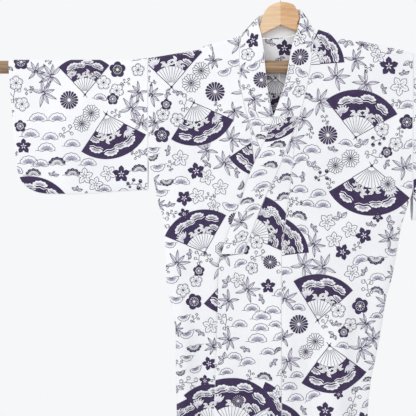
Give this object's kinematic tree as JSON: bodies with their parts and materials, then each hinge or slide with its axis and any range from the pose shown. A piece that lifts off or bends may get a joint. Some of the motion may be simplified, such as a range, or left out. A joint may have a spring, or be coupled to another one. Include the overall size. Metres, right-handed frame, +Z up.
{
  "type": "kimono robe on a wooden hanger with a rod",
  "caption": "Hanging cotton kimono robe with a crossed collar and wide sleeves, on a wooden hanger, with a wooden rod spreading its sleeves.",
  "frame": {"origin": "inner top of the hanger's hook, where it hangs on a support", "axes": "+Z up; the garment's front faces -Y; +X to the right of someone who looks at the front"},
  "size_m": [1.49, 0.0833, 1.5433],
  "materials": {
    "cloth": "matt cotton with a dark violet print",
    "hanger_wood": "satin",
    "rod_wood": "matt, weathered",
    "hook_metal": "polished"
  },
  "bodies": {
    "root": {"front_left": "cloth", "front_right": "cloth", "back_left": "cloth", "back_right": "cloth", "sleeve_left": "cloth", "sleeve_right": "cloth", "overlap_over": "cloth", "overlap_under": "cloth", "collar_over": "cloth", "collar_under": "cloth", "collar_cover": "cloth", "hanger_left": "hanger_wood", "hanger_right": "hanger_wood", "hook": "hook_metal", "rod": "rod_wood"}
  },
  "joints": []
}
